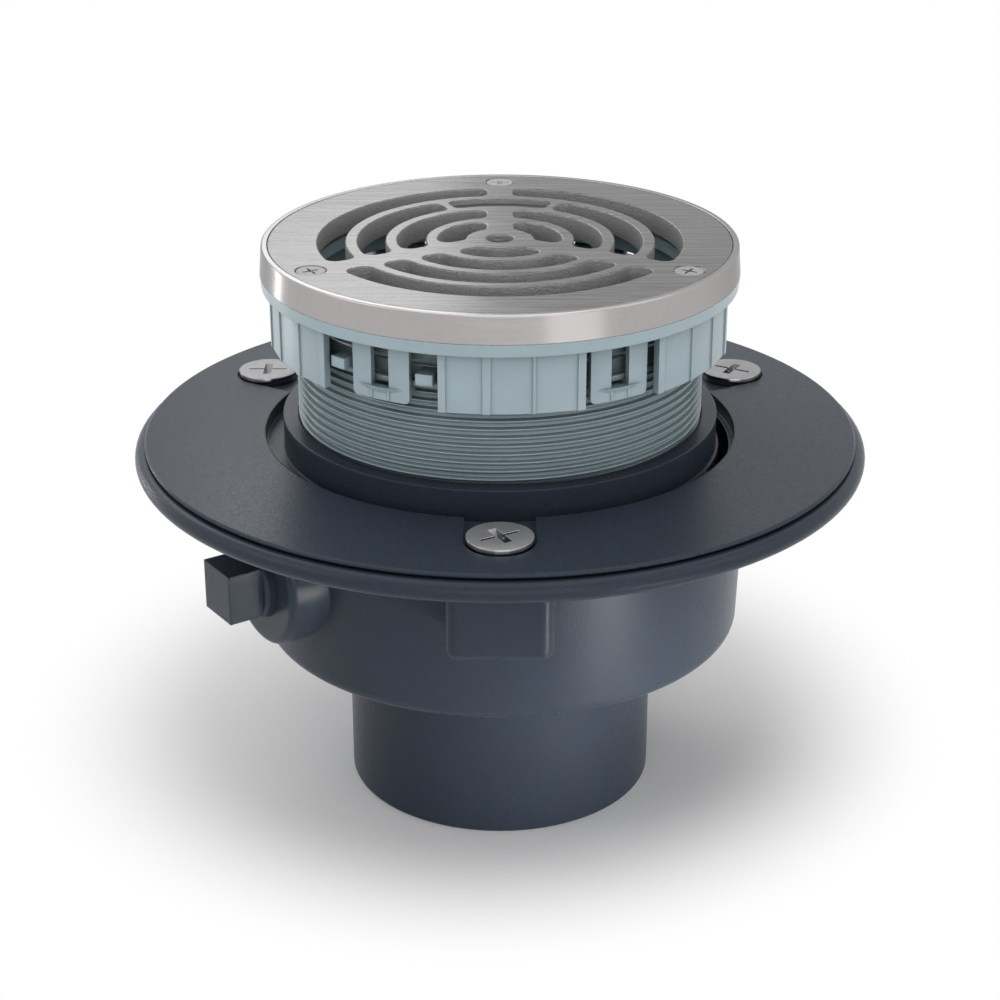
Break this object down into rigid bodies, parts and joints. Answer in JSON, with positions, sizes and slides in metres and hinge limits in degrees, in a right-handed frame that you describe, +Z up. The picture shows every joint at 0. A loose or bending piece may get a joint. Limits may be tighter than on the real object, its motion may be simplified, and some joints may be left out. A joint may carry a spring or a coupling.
{
  "type": "floor drain",
  "caption": "Floor drain: cast sump with bottom outlet, clamp collar held by screws, and a threaded shank that sets the height of a round slotted strainer head.",
  "frame": {"origin": "on the drain's axis, in the plane of the outlet pipe's lower end", "axes": "+Z up through the strainer; -Y faces the front clamp screw; +X to the right seen from the front"},
  "size_m": [0.1978, 0.1978, 0.1564],
  "materials": {
    "coated_casting": "dark blue-grey coating on cast iron",
    "plated_screw": "bright plated steel",
    "moulded_plastic": "pale blue-grey moulded plastic",
    "satin_nickel": "satin cast nickel alloy",
    "insert_brass": "plain machined"
  },
  "bodies": {
    "body": {"drain_body": "coated_casting", "clamp_collar": "coated_casting", "clamp_screw_front": "plated_screw", "clamp_screw_left": "plated_screw", "clamp_screw_right": "plated_screw", "primer_plug": "coated_casting"},
    "head": {"threaded_shank": "moulded_plastic", "strainer_head": "moulded_plastic", "frame_ring": "satin_nickel", "strainer_grate": "satin_nickel", "grate_screw_back": "plated_screw", "grate_screw_left": "plated_screw", "grate_screw_right": "plated_screw", "thread_insert_back": "insert_brass", "thread_insert_left": "insert_brass", "thread_insert_right": "insert_brass"}
  },
  "joints": [
    {"name": "head_height", "type": "slide", "parent": "body", "child": "head", "axis": [0, 0, 1], "range_m": [-0.021, 0.018]}
  ]
}
